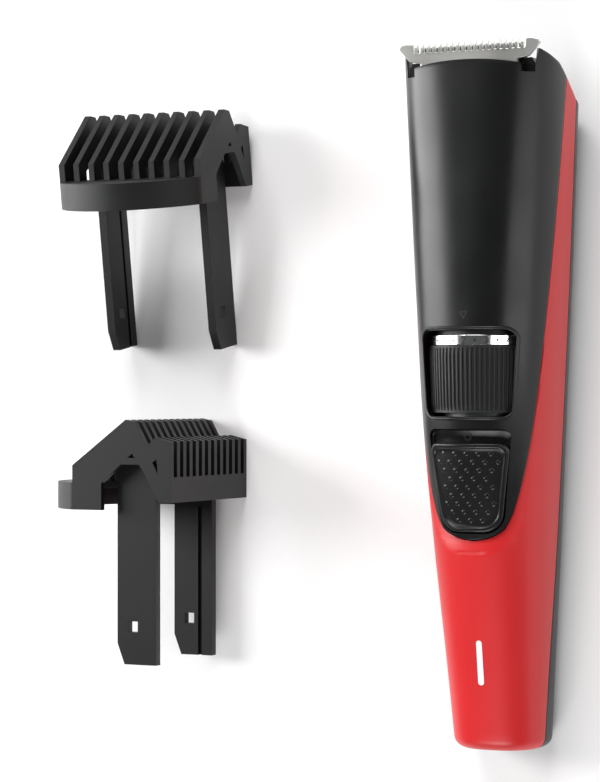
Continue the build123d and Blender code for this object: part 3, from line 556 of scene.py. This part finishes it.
def cut_outline(thing, outline, low):
    """Cuts an opening from a height up through the front."""
    cut(thing, prism("cutter_form", outline, low, CUT_HIGH, abs_black))


for form in (WINDOW, RECESS):
    cut_outline(front_panel, rounded_outline(form), CUT_LOW)
notch_corners = ((NOTCH_IN, NOTCH_LOW), (NOTCH_OUT, NOTCH_LOW), (NOTCH_OUT, NOTCH_HIGH), (NOTCH_IN, NOTCH_HIGH))
for side in (-1, 1):
    for skin_piece in (front_panel, side_shell):
        cut_outline(skin_piece, [Vector((side * x, y)) for x, y in notch_corners], NOTCH_FLOOR)
cut_outline(side_shell, rounded_outline(LIGHT), CUT_LOW)
low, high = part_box("charging_socket")
for piece in (side_shell, back_shell):
    box_form = bmesh.new()
    bmesh.ops.create_cube(box_form, size=1.0)
    size = Vector(high) - Vector(low) + Vector(SOCKET_ROOM) * MM
    bmesh.ops.scale(box_form, vec=size, verts=box_form.verts)
    bmesh.ops.translate(box_form, vec=(Vector(high) + Vector(low)) / 2, verts=box_form.verts)
    mould = bpy.data.meshes.new("socket_form")
    box_form.to_mesh(mould)
    tool = bpy.data.objects.new("socket_form", mould)
    bpy.context.scene.collection.objects.link(tool)
    cut(piece, tool)
for piece, node in ((front_panel, "front_panel"), (side_shell, "side_shell"), (back_shell, "back_shell")):
    smooth_up_to(piece, OPENING_SHARP)
    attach(piece, "housing")
    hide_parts(node)


def bead(name, form, width, height, material, section=9, sunk=-0.5, fullness=0.6):
    """A raised rounded rim that follows an outline on the front surface, its feet sunk into it."""
    inner, outer = rounded_outline(form), rounded_outline(form, width)
    points = []
    for p in inner:
        away = (min(outer, key=lambda q: (q - p).length) - p).normalized()
        for k in range(section):
            t = k / (section - 1)
            lift = height * math.sin(math.pi * t) ** fullness if 0 < k < section - 1 else sunk
            spot = p + away * width * t
            points.append(place(spot.x, spot.y, front_height(spot.x, spot.y) + lift))
    points += points[:section]
    return mesh_object(name, points, grid_faces(len(inner) + 1, section, wrap=True), material)


def dished(name, form, profile, material):
    """A piece filling an outline; profile lists (share of it, height over the surface) from rim to middle."""
    outline = rounded_outline(form)
    middle = Vector((0, (form[2] + form[3]) / 2))
    points = []
    for share, lift in profile:
        for p in outline:
            spot = middle + (p - middle) * share
            points.append(place(spot.x, spot.y, front_height(spot.x, spot.y) + lift))
    return mesh_object(name, points, grid_faces(len(profile), len(outline), wrap=True), material)


window_rim = bead("window_rim", WINDOW, RIM_WIDTH, RIM_HEIGHT, abs_black)
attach(window_rim, "housing")
# The recess: a short wall, then a flat floor.
recess_profile = [(1.0, -0.05), (0.992, -0.3), (0.985, -1.35)]
recess_profile += [(share, -RECESS_DEPTH) for share in (0.965, 0.7, 0.3, 0.01)]
button_recess = dished("button_recess", RECESS, recess_profile, abs_black)
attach(button_recess, "housing")
# The button: a wall, a rounded raised rim, then a flat face in rings for the shading.
button_profile = [(0.985, -1.15), (1.0, -1.0), (1.0, 0.25), (0.99, 0.42), (0.97, 0.5), (0.93, 0.5)]
button_profile += [(0.905, 0.42), (0.885, 0.12), (0.87, 0.02)]
button_profile += [(s / 100, 0.0) for s in (80, 70, 60, 50, 40, 30, 20, 10, 1)]
button_cap = dished("power_button_cap", BUTTON, button_profile, abs_black)
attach(button_cap, "button")
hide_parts("power_button")


# ------------------------------------------------------------------ what repeats
def spread_tree():
    """A tree for everything that repeats: a shape on every point, turned as the point says."""
    tree = bpy.data.node_groups.new("spread_shape", "GeometryNodeTree")
    tree.is_modifier = True
    for label, kind in (("Geometry", "Geometry"), ("Shape", "Object"), ("Material", "Material")):
        tree.interface.new_socket(label, in_out="INPUT", socket_type="NodeSocket" + kind)
    tree.interface.new_socket("Geometry", in_out="OUTPUT", socket_type="NodeSocketGeometry")
    given = add_node(tree, "NodeGroupInput")
    shape = add_node(
        tree, "GeometryNodeObjectInfo", {"transform_space": "ORIGINAL"}, {"Object": given.outputs["Shape"]}
    )
    turn = add_node(tree, "GeometryNodeInputNamedAttribute", {"data_type": "FLOAT_VECTOR", "Name": "turn"})
    points = add_node(tree, "GeometryNodeMeshToPoints", {}, {"Mesh": given.outputs["Geometry"]})
    set_down = {
        "Points": points.outputs[0],
        "Instance": shape.outputs["Geometry"],
        "Rotation": turn.outputs["Attribute"],
    }
    copies = add_node(tree, "GeometryNodeInstanceOnPoints", {}, set_down)
    real = add_node(tree, "GeometryNodeRealizeInstances", {}, {"Geometry": copies.outputs[0]})
    coloured = add_node(
        tree, "GeometryNodeSetMaterial", {}, {"Geometry": real.outputs[0], "Material": given.outputs["Material"]}
    )
    add_node(tree, "NodeGroupOutput", {}, {"Geometry": coloured.outputs[0]})
    return tree


spread_shape = spread_tree()
SPREAD_SHARP = 40  # degrees


def spread(name, shape, spots, turns, material, smooth=True):
    """Copies of a shape at spots (metres), turned by Euler angles, as one plain mesh."""
    made = bpy.data.meshes.new(name)
    made.from_pydata([tuple(s) for s in spots], [], [])
    turned = made.attributes.new("turn", "FLOAT_VECTOR", "POINT")
    turned.data.foreach_set("vector", [c for t in turns for c in t])
    thing = bpy.data.objects.new(name, made)
    bpy.context.scene.collection.objects.link(thing)
    step = thing.modifiers.new("spread", "NODES")
    step.node_group = spread_shape
    sockets = {s.name: s.identifier for s in spread_shape.interface.items_tree if s.in_out == "INPUT"}
    step[sockets["Shape"]] = shape
    step[sockets["Material"]] = material
    settle(thing)
    bpy.data.objects.remove(shape)
    if smooth:
        smooth_up_to(thing, SPREAD_SHARP)
    return thing


BUMP_SINK = 0.1  # how far a bump's foot is sunk into its surface


def low_dome(radius, height, sides=14, rings=5):
    """A small round bump, its foot a little below z = 0."""
    points, sink = [], BUMP_SINK * MM
    for r in range(rings):
        climb = r * math.pi / 2 / rings
        reach = radius * math.cos(climb)
        for k in range(sides):
            a = 2 * math.pi * k / sides
            points.append((reach * math.cos(a), reach * math.sin(a), height * math.sin(climb) - sink))
    points.append((0, 0, height - sink))
    faces = grid_faces(rings, sides, wrap=True)
    top_ring = (rings - 1) * sides
    faces += [(top_ring + k, top_ring + (k + 1) % sides, rings * sides) for k in range(sides)]
    return mesh_object("bump_shape", points, faces, abs_black)


# Grip bumps on the button, set in diagonal rows.
BUMP_ACROSS, BUMP_ALONG, BUMP_RADIUS, BUMP_HEIGHT, BUMP_MIDDLE = 2.9, 1.9, 0.66, 0.24, 61.0
BUMP_ROWS, BUMP_COLUMNS = 5, 4  # to either side of the middle
CLEAR_OF_RIM, TILT_STEP = -1.9, 0.1
spots, turns = [], []
inside = rounded_outline(BUTTON, CLEAR_OF_RIM)


def within(point, outline):
    """True where a front-view point lies inside an outline."""
    hits = 0
    for a, b in zip(outline, outline[1:] + outline[:1]):
        if (a.y > point.y) != (b.y > point.y):
            hits += point.x < a.x + (point.y - a.y) * (b.x - a.x) / (b.y - a.y)
    return hits % 2 == 1


for row in range(-BUMP_ROWS, BUMP_ROWS + 1):
    for column in range(-BUMP_COLUMNS, BUMP_COLUMNS + 1):
        spot = Vector(((column + 0.5 * (row % 2)) * BUMP_ACROSS, BUMP_MIDDLE + row * BUMP_ALONG))
        if within(spot, inside):
            x, y, d = spot.x, spot.y, TILT_STEP
            spots.append(place(x, y, front_height(x, y)))
            lean = (front_height(x + d, y) - front_height(x - d, y)) / (2 * d)
            rise = (front_height(x, y + d) - front_height(x, y - d)) / (2 * d)
            turns.append((math.atan(rise), -math.atan(lean), 0))
grip = spread("button_grip_bumps", low_dome(BUMP_RADIUS * MM, BUMP_HEIGHT * MM), spots, turns, abs_black)
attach(grip, "button")

# Rounded ribs all round the wheel, standing between the grooves of its rim.
RIBS, WHEEL_AXIS, WHEEL_BOTTOM, WHEEL_TOP = 72, 19.4, 77.9, 93.1
RIM_BOTTOM, RIM_TOP = 12.1, 12.6  # radii of the wheel's rim
RIB_HALF, RIB_SHORTER = 0.3, 1.6  # half a rib's width, and the bare rim left at its two ends
RIB_ROUNDING = 0.08  # share of its length over which each end is rounded
RIB_SINK, RIB_FOOT_SINK = 0.12, 0.2  # how far crown and feet are sunk into the rim


def rib_shape(rings=5):
    """One long low ridge with rounded ends, lying along Y with its foot at the origin."""
    points, length = [], WHEEL_TOP - WHEEL_BOTTOM - RIB_SHORTER
    shares = (0.0, 0.03, RIB_ROUNDING, 1 - RIB_ROUNDING, 0.97, 1.0)
    for t in shares:
        swell = math.sin(math.pi * min(t, 1 - t, RIB_ROUNDING) / (2 * RIB_ROUNDING))
        for k in range(rings):
            a = math.pi * k / (rings - 1)
            lift = RIB_HALF * math.sin(a) * swell - (RIB_SINK if 0 < k < rings - 1 else RIB_FOOT_SINK)
            points.append(((RIB_HALF * math.cos(a)) * MM, (t - 0.5) * length * MM, lift * MM))
    return mesh_object("rib_shape", points, grid_faces(len(shares), rings, wrap=True), elastomer)


spots, turns = [], []
flare = math.atan2(RIM_TOP - RIM_BOTTOM, WHEEL_TOP - WHEEL_BOTTOM)
rib_radius = (RIM_BOTTOM + RIM_TOP) / 2
rib_middle = (WHEEL_BOTTOM + WHEEL_TOP) / 2
for k in range(RIBS):
    a = 2 * math.pi * (k + 0.5) / RIBS
    spots.append(place(rib_radius * math.sin(a), rib_middle, WHEEL_AXIS + rib_radius * math.cos(a)))
    turned = Matrix.Rotation(a, 4, "Y") @ Matrix.Rotation(flare, 4, "X")
    turns.append(tuple(turned.to_euler()))
wheel_ribs = spread("wheel_finger_ribs", rib_shape(), spots, turns, elastomer)
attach(wheel_ribs, "wheel")


# ------------------------------------------------------------------ figures of the scale, and the small marks
SIGN_LIFTS = (-0.05, 0.03)  # a sign's underside below the surface and its face above it


def flat_sign(name, outlines, lay, material):
    """A thin sign: filled (across, up) outlines in mm, laid on a surface by lay(across, up, lift)."""
    points, faces = [], []
    for outline in outlines:
        count = len(outline)
        for lift in SIGN_LIFTS:
            start = len(points)
            points += [lay(x, y, lift) for x, y in outline]
            faces.append(tuple(range(start, start + count)))
        first = len(points) - 2 * count
        for k in range(count):
            here, beside = first + k, first + (k + 1) % count
            faces.append((here, beside, beside + count, here + count))
    return mesh_object(name, points, faces, material, smooth=False)


PEN_END = 0.9  # a piece of line runs past its ends by this share of half the pen's width


def stroke(points, width=0.24, close=False):
    """Straight pieces of a line drawn with a pen of some width, each a four-cornered outline."""
    pieces = []
    ends = points[1:] + points[:1] if close else points[1:]
    for (x0, y0), (x1, y1) in zip(points, ends):
        run = Vector((x1 - x0, y1 - y0))
        along_it = run.normalized() * width / 2
        off = Vector((-along_it.y, along_it.x))
        a, b = Vector((x0, y0)) - along_it * PEN_END, Vector((x1, y1)) + along_it * PEN_END
        pieces.append([tuple(v) for v in (a + off, b + off, b - off, a - off)])
    return pieces


def ring_of(radius, start, end, count=20):
    """Points round part of a circle, from one angle to another."""
    angles = [start + (end - start) * k / count for k in range(count + 1)]
    return [(radius * math.cos(a), radius * math.sin(a)) for a in angles]


# Each figure drawn in a cell one unit wide and two tall.
SEGMENTS = {
    1: [(0.25, 1.6), (0.6, 2.0), (0.6, 0.0)],
    2: [(0.0, 1.6), (0.2, 1.95), (0.8, 1.95), (1.0, 1.55), (0.9, 1.1), (0.0, 0.0), (1.0, 0.0)],
    3: [(0.0, 1.8), (0.5, 2.0), (0.95, 1.6), (0.5, 1.1), (1.0, 0.55), (0.55, 0.0), (0.0, 0.2)],
    4: [(0.75, 0.0), (0.75, 2.0), (0.0, 0.6), (1.0, 0.6)],
    5: [(0.95, 2.0), (0.15, 2.0), (0.1, 1.15), (0.7, 1.25), (1.0, 0.65), (0.65, 0.0), (0.0, 0.1)],
    6: [(0.85, 1.95), (0.25, 1.5), (0.0, 0.6), (0.4, 0.0), (0.95, 0.3), (0.85, 1.0), (0.1, 0.9)],
    7: [(0.0, 2.0), (1.0, 2.0), (0.35, 0.0)],
    8: [(0.5, 1.1), (0.05, 1.55), (0.5, 2.0), (0.95, 1.55), (0.5, 1.1)]
    + [(0.0, 0.5), (0.5, 0.0), (1.0, 0.5), (0.5, 1.1)],
    9: [(0.15, 0.05), (0.75, 0.5), (1.0, 1.4), (0.6, 2.0), (0.05, 1.7), (0.15, 1.0), (0.9, 1.1)],
}
RING_RADIUS, RING_MIDDLE = 12.5, 94.3
SETTING_TURN, SHOWN = 24.0, 2  # degrees from one setting to the next, and the figure in the window at rest
FIGURE_HEIGHT, FIGURE_PEN, DOT_RADIUS, DOT_SIDES = 1.5, 0.22, 0.28, 12
signs = []
for setting, line in SEGMENTS.items():
    shift = (setting - SHOWN) * math.radians(SETTING_TURN) * RING_RADIUS
    scaled = [((x - 0.5) * FIGURE_HEIGHT / 2 + shift, (y - 1) * FIGURE_HEIGHT / 2) for x, y in line]
    signs += stroke(scaled, FIGURE_PEN)
for half_step in range(-1, 2 * len(SEGMENTS) + 1, 2):  # a dot halfway between two settings
    shift = (half_step / 2 - SHOWN) * math.radians(SETTING_TURN) * RING_RADIUS
    signs.append([(x + shift, y) for x, y in ring_of(DOT_RADIUS, 0, 2 * math.pi, DOT_SIDES)[:-1]])


def on_ring(x, y, lift):
    """A place on the scale ring: distance round it, distance along the clipper, height over it."""
    a, radius = x / RING_RADIUS, RING_RADIUS + lift
    return place(radius * math.sin(a), RING_MIDDLE + y, WHEEL_AXIS + radius * math.cos(a))


figures = flat_sign("scale_figures", signs, on_ring, ink)
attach(figures, "wheel")


def on_front(station, depth=0.0):
    """A function that lays (across, up) points on the front surface round a station."""
    return lambda x, y, lift: place(x, station + y, front_height(x, station + y) - depth + lift)


INDEX_STATION, SIGN_STATION = 100.0, 72.55
INDEX_PEN, SIGN_PEN, SIGN_STEM_PEN = 0.28, 0.24, 0.26
triangle = stroke([(-0.85, 0.7), (0.85, 0.7), (0.0, -0.75)], INDEX_PEN, close=True)
index_mark = flat_sign("index_mark", triangle, on_front(INDEX_STATION), elastomer)
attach(index_mark, "housing")
SIGN_RADIUS, SIGN_FROM, SIGN_TO = 0.85, math.radians(130), math.radians(410)  # a ring open at its top
sign_lines = stroke(ring_of(SIGN_RADIUS, SIGN_FROM, SIGN_TO), SIGN_PEN)
sign_lines += stroke([(0, 0.2), (0, 1.15)], SIGN_STEM_PEN)
power_sign = flat_sign("power_sign", sign_lines, on_front(SIGN_STATION, RECESS_DEPTH), elastomer)
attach(power_sign, "housing")


# ------------------------------------------------------------------ blades and the lugs beside them
TEETH, CUTTER_TEETH, TOOTH_PITCH, TOOTH_ROOT, TOOTH_LENGTH = 19, 17, 1.44, 159.9, 2.1
BLADE_TOP, BLADE_THICKNESS = 28.9, 1.0
CUTTER_TOP, CUTTER_THICKNESS, CUTTER_BACK_TIP = 27.8, 0.9, 0.7  # its tips stay back behind the blade's
CUTTER_HALF, CUTTER_HEEL = 10.9, 150.1
BLADE_FOOT, BLADE_TIP, CUTTER_FOOT, CUTTER_TIP = 0.44, 0.26, 0.5, 0.3  # half widths of a tooth
TOOTH_BURIED, TOOTH_BEND, TOOTH_CROWN = 0.3, 0.6, 0.8  # in its plate; share of length; share of width at the top
LUG_LOW, LUG_HIGH, PLATE_EDGE = 22.8, 27.0, 0.1


def plate(name, outline, low, high, material):
    """A flat plate from a front-view outline of (width, station) points, its edges softened."""
    thing = prism(name, outline, low, high, material)
    soften_edges(thing, PLATE_EDGE)
    return thing


def tooth_shape(length, thickness, foot, tip):
    """One tapering tooth with a ground, sloping tip; its root is at the origin and its face on z = 0."""
    points = []
    # distance along the tooth, its half width, and its top and underside as shares of the thickness
    foot_row, tip_row = (-TOOTH_BURIED, foot, 0, 1), (length, tip, 0.45, 0.75)
    bend_row = (length * TOOTH_BEND, (foot + tip) / 2, 0, 1)
    for y, half, top, low in (foot_row, bend_row, tip_row):
        crown = half * TOOTH_CROWN
        for x, z in ((-half, -low), (half, -low), (crown, -top), (-crown, -top)):
            points.append((x * MM, y * MM, z * thickness * MM))
    faces = grid_faces(3, 4, wrap=True) + [(0, 1, 2, 3), (8, 9, 10, 11)]
    return mesh_object("tooth_shape", points, faces, steel_ground, smooth=False)


def tooth_row(name, count, root, length, top, thickness, foot, tip, material):
    """A row of teeth one pitch apart, centred on the middle."""
    spots = [place((k - (count - 1) / 2) * TOOTH_PITCH, root, top) for k in range(count)]
    shape = tooth_shape(length, thickness, foot, tip)
    return spread(name, shape, spots, [(0, 0, 0)] * count, material, smooth=False)


# The blade's right half in front view: a stem, then a wider wing whose outer end rises into an ear.
half_blade = [(17.2, 160.9), (16.7, 161.7), (15.2, 162.0), (13.75, 161.9), (13.6, TOOTH_ROOT)]
half_blade = [(11.8, 150.0), (11.8, 157.4), (14.6, 158.0)] + half_blade
blade_outline = half_blade + [(-x, s) for x, s in half_blade[::-1]]
blade_plate = plate("fixed_blade_plate", blade_outline, BLADE_TOP - BLADE_THICKNESS, BLADE_TOP, steel_ground)
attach(blade_plate, "housing")
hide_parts("fixed_blade")
blade_teeth = tooth_row(
    "fixed_blade_teeth",
    TEETH,
    TOOTH_ROOT,
    TOOTH_LENGTH,
    BLADE_TOP,
    BLADE_THICKNESS,
    BLADE_FOOT,
    BLADE_TIP,
    steel_ground,
)
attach(blade_teeth, "housing")
CUTTER_ROOT = TOOTH_ROOT - 0.2
cutter_outline = [(CUTTER_HALF, CUTTER_HEEL), (CUTTER_HALF, CUTTER_ROOT)]
cutter_outline += [(-x, s) for x, s in cutter_outline[::-1]]
# The cutter's plate and teeth take the darkened steel: painted shade behind and between the blade's teeth.
cutter_plate = plate("cutter_plate", cutter_outline, CUTTER_TOP - CUTTER_THICKNESS, CUTTER_TOP, steel_painted_shade)
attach(cutter_plate, "moving_blade")
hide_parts("cutter")
cutter_reach = TOOTH_LENGTH - CUTTER_BACK_TIP
cutter_teeth = tooth_row(
    "cutter_teeth",
    CUTTER_TEETH,
    CUTTER_ROOT,
    cutter_reach,
    CUTTER_TOP,
    CUTTER_THICKNESS,
    CUTTER_FOOT,
    CUTTER_TIP,
    steel_painted_shade,
)
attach(cutter_teeth, "moving_blade")
# A lug in front view, on the right of the blade.
lug_corners = ((12.3, 154.6), (15.3, 154.6), (15.3, 156.6), (14.6, 157.8), (12.3, 157.8))
for side, hand in ((-1, "left"), (1, "right")):
    lug_outline = [(side * x, s) for x, s in lug_corners]
    lug = plate(f"blade_holder_lug_{hand}", lug_outline, LUG_LOW, LUG_HIGH, abs_black)
    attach(lug, "housing")


# ------------------------------------------------------------------ softened copies of the plain CAD pieces
COMB_EDGE, SAME_PLANE, COMB_BEND, COMB_SHARP = 0.22, 1, 30, 50  # mm, then degrees


def softened(node, material, width, body, name):
    """A copy of a CAD piece with its edges rounded over."""
    source = nodes[node]
    copy = bpy.data.objects.new(name, source.data.copy())
    copy.matrix_world = source.matrix_world
    bpy.context.scene.collection.objects.link(copy)
    copy.data.transform(copy.matrix_world)
    copy.matrix_world = Matrix.Identity(4)
    clean(copy, outward=False)
    form = bmesh.new()
    form.from_mesh(copy.data)
    bmesh.ops.dissolve_limit(form, angle_limit=math.radians(SAME_PLANE), verts=form.verts, edges=form.edges)
    form.to_mesh(copy.data)
    form.free()
    copy.data.materials.clear()
    copy.data.materials.append(material)
    soften_edges(copy, width, COMB_BEND)
    smooth_up_to(copy, COMB_SHARP)
    modify(copy, "WEIGHTED_NORMAL", keep_sharp=True, weight=100)
    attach(copy, body)
    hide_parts(node)
    return copy


softened("guide_comb_upper", pp_black, COMB_EDGE, "upper_comb", "guide_comb_upper_soft")
softened("guide_comb_lower", pp_black, COMB_EDGE, "lower_comb", "guide_comb_lower_soft")

# ------------------------------------------------------------------ floor, light and camera
FLOOR_HALF = 3  # metres
corners = [(x * FLOOR_HALF, y * FLOOR_HALF, 0) for x, y in ((-1, -1), (1, -1), (1, 1), (-1, 1))]
floor = mesh_object("table_top", corners, [(0, 1, 2, 3)], table_white)


def soft_light(name, spot, aim, width, height, watts):
    """A rectangular softbox at a spot, facing another, all in metres."""
    lamp = bpy.data.lights.new(name, "AREA")
    lamp.shape = "RECTANGLE"
    lamp.size, lamp.size_y, lamp.energy = width, height, watts
    thing = bpy.data.objects.new(name, lamp)
    thing.location = spot
    thing.rotation_euler = (Vector(aim) - Vector(spot)).to_track_quat("-Z", "Y").to_euler()
    bpy.context.scene.collection.objects.link(thing)


# A strong box on the left draws the long highlight and a narrow strip on the right a faint one; two wide boxes
# at head and foot light the floor.
soft_light("left_softbox", (-0.62, 0.12, 0.3), (-0.03, 0, 0.02), 0.26, 0.7, 5.6)
soft_light("right_softbox", (0.8, 0.0, 0.42), (0, 0, 0.02), 0.08, 0.9, 1.9)
soft_light("head_softbox", (-0.05, 1.1, 0.85), (-0.05, 0, 0), 0.9, 0.5, 13)
soft_light("foot_softbox", (-0.05, -1.1, 0.85), (-0.05, 0, 0), 0.9, 0.5, 11)
SKY_STRENGTH = 0.12
sky = bpy.data.worlds.new("studio")
sky.use_nodes = True
sky.node_tree.nodes["Background"].inputs["Color"].default_value = (1, 1, 1, 1)
sky.node_tree.nodes["Background"].inputs["Strength"].default_value = SKY_STRENGTH
bpy.context.scene.world = sky
bpy.context.scene.view_settings.view_transform = "Standard"

TURN = math.radians(26)  # the camera leans this far to the clipper's right
DISTANCE, FOCAL, SENSOR = 668.0, 125.6, 36.0
aim = Vector((-56.5, 1.8, 0)) * MM
lens = bpy.data.cameras.new("camera")
lens.sensor_fit, lens.sensor_height, lens.lens = "VERTICAL", SENSOR, FOCAL
camera = bpy.data.objects.new("camera", lens)
toward = Vector((math.sin(TURN), 0, math.cos(TURN)))
camera.location = aim + toward * DISTANCE * MM
up = Vector((0, 1, 0))
side = up.cross(toward)
camera.matrix_world = Matrix.Translation(camera.location) @ Matrix((side, up, toward)).transposed().to_4x4()
bpy.context.scene.collection.objects.link(camera)
bpy.context.scene.camera = camera
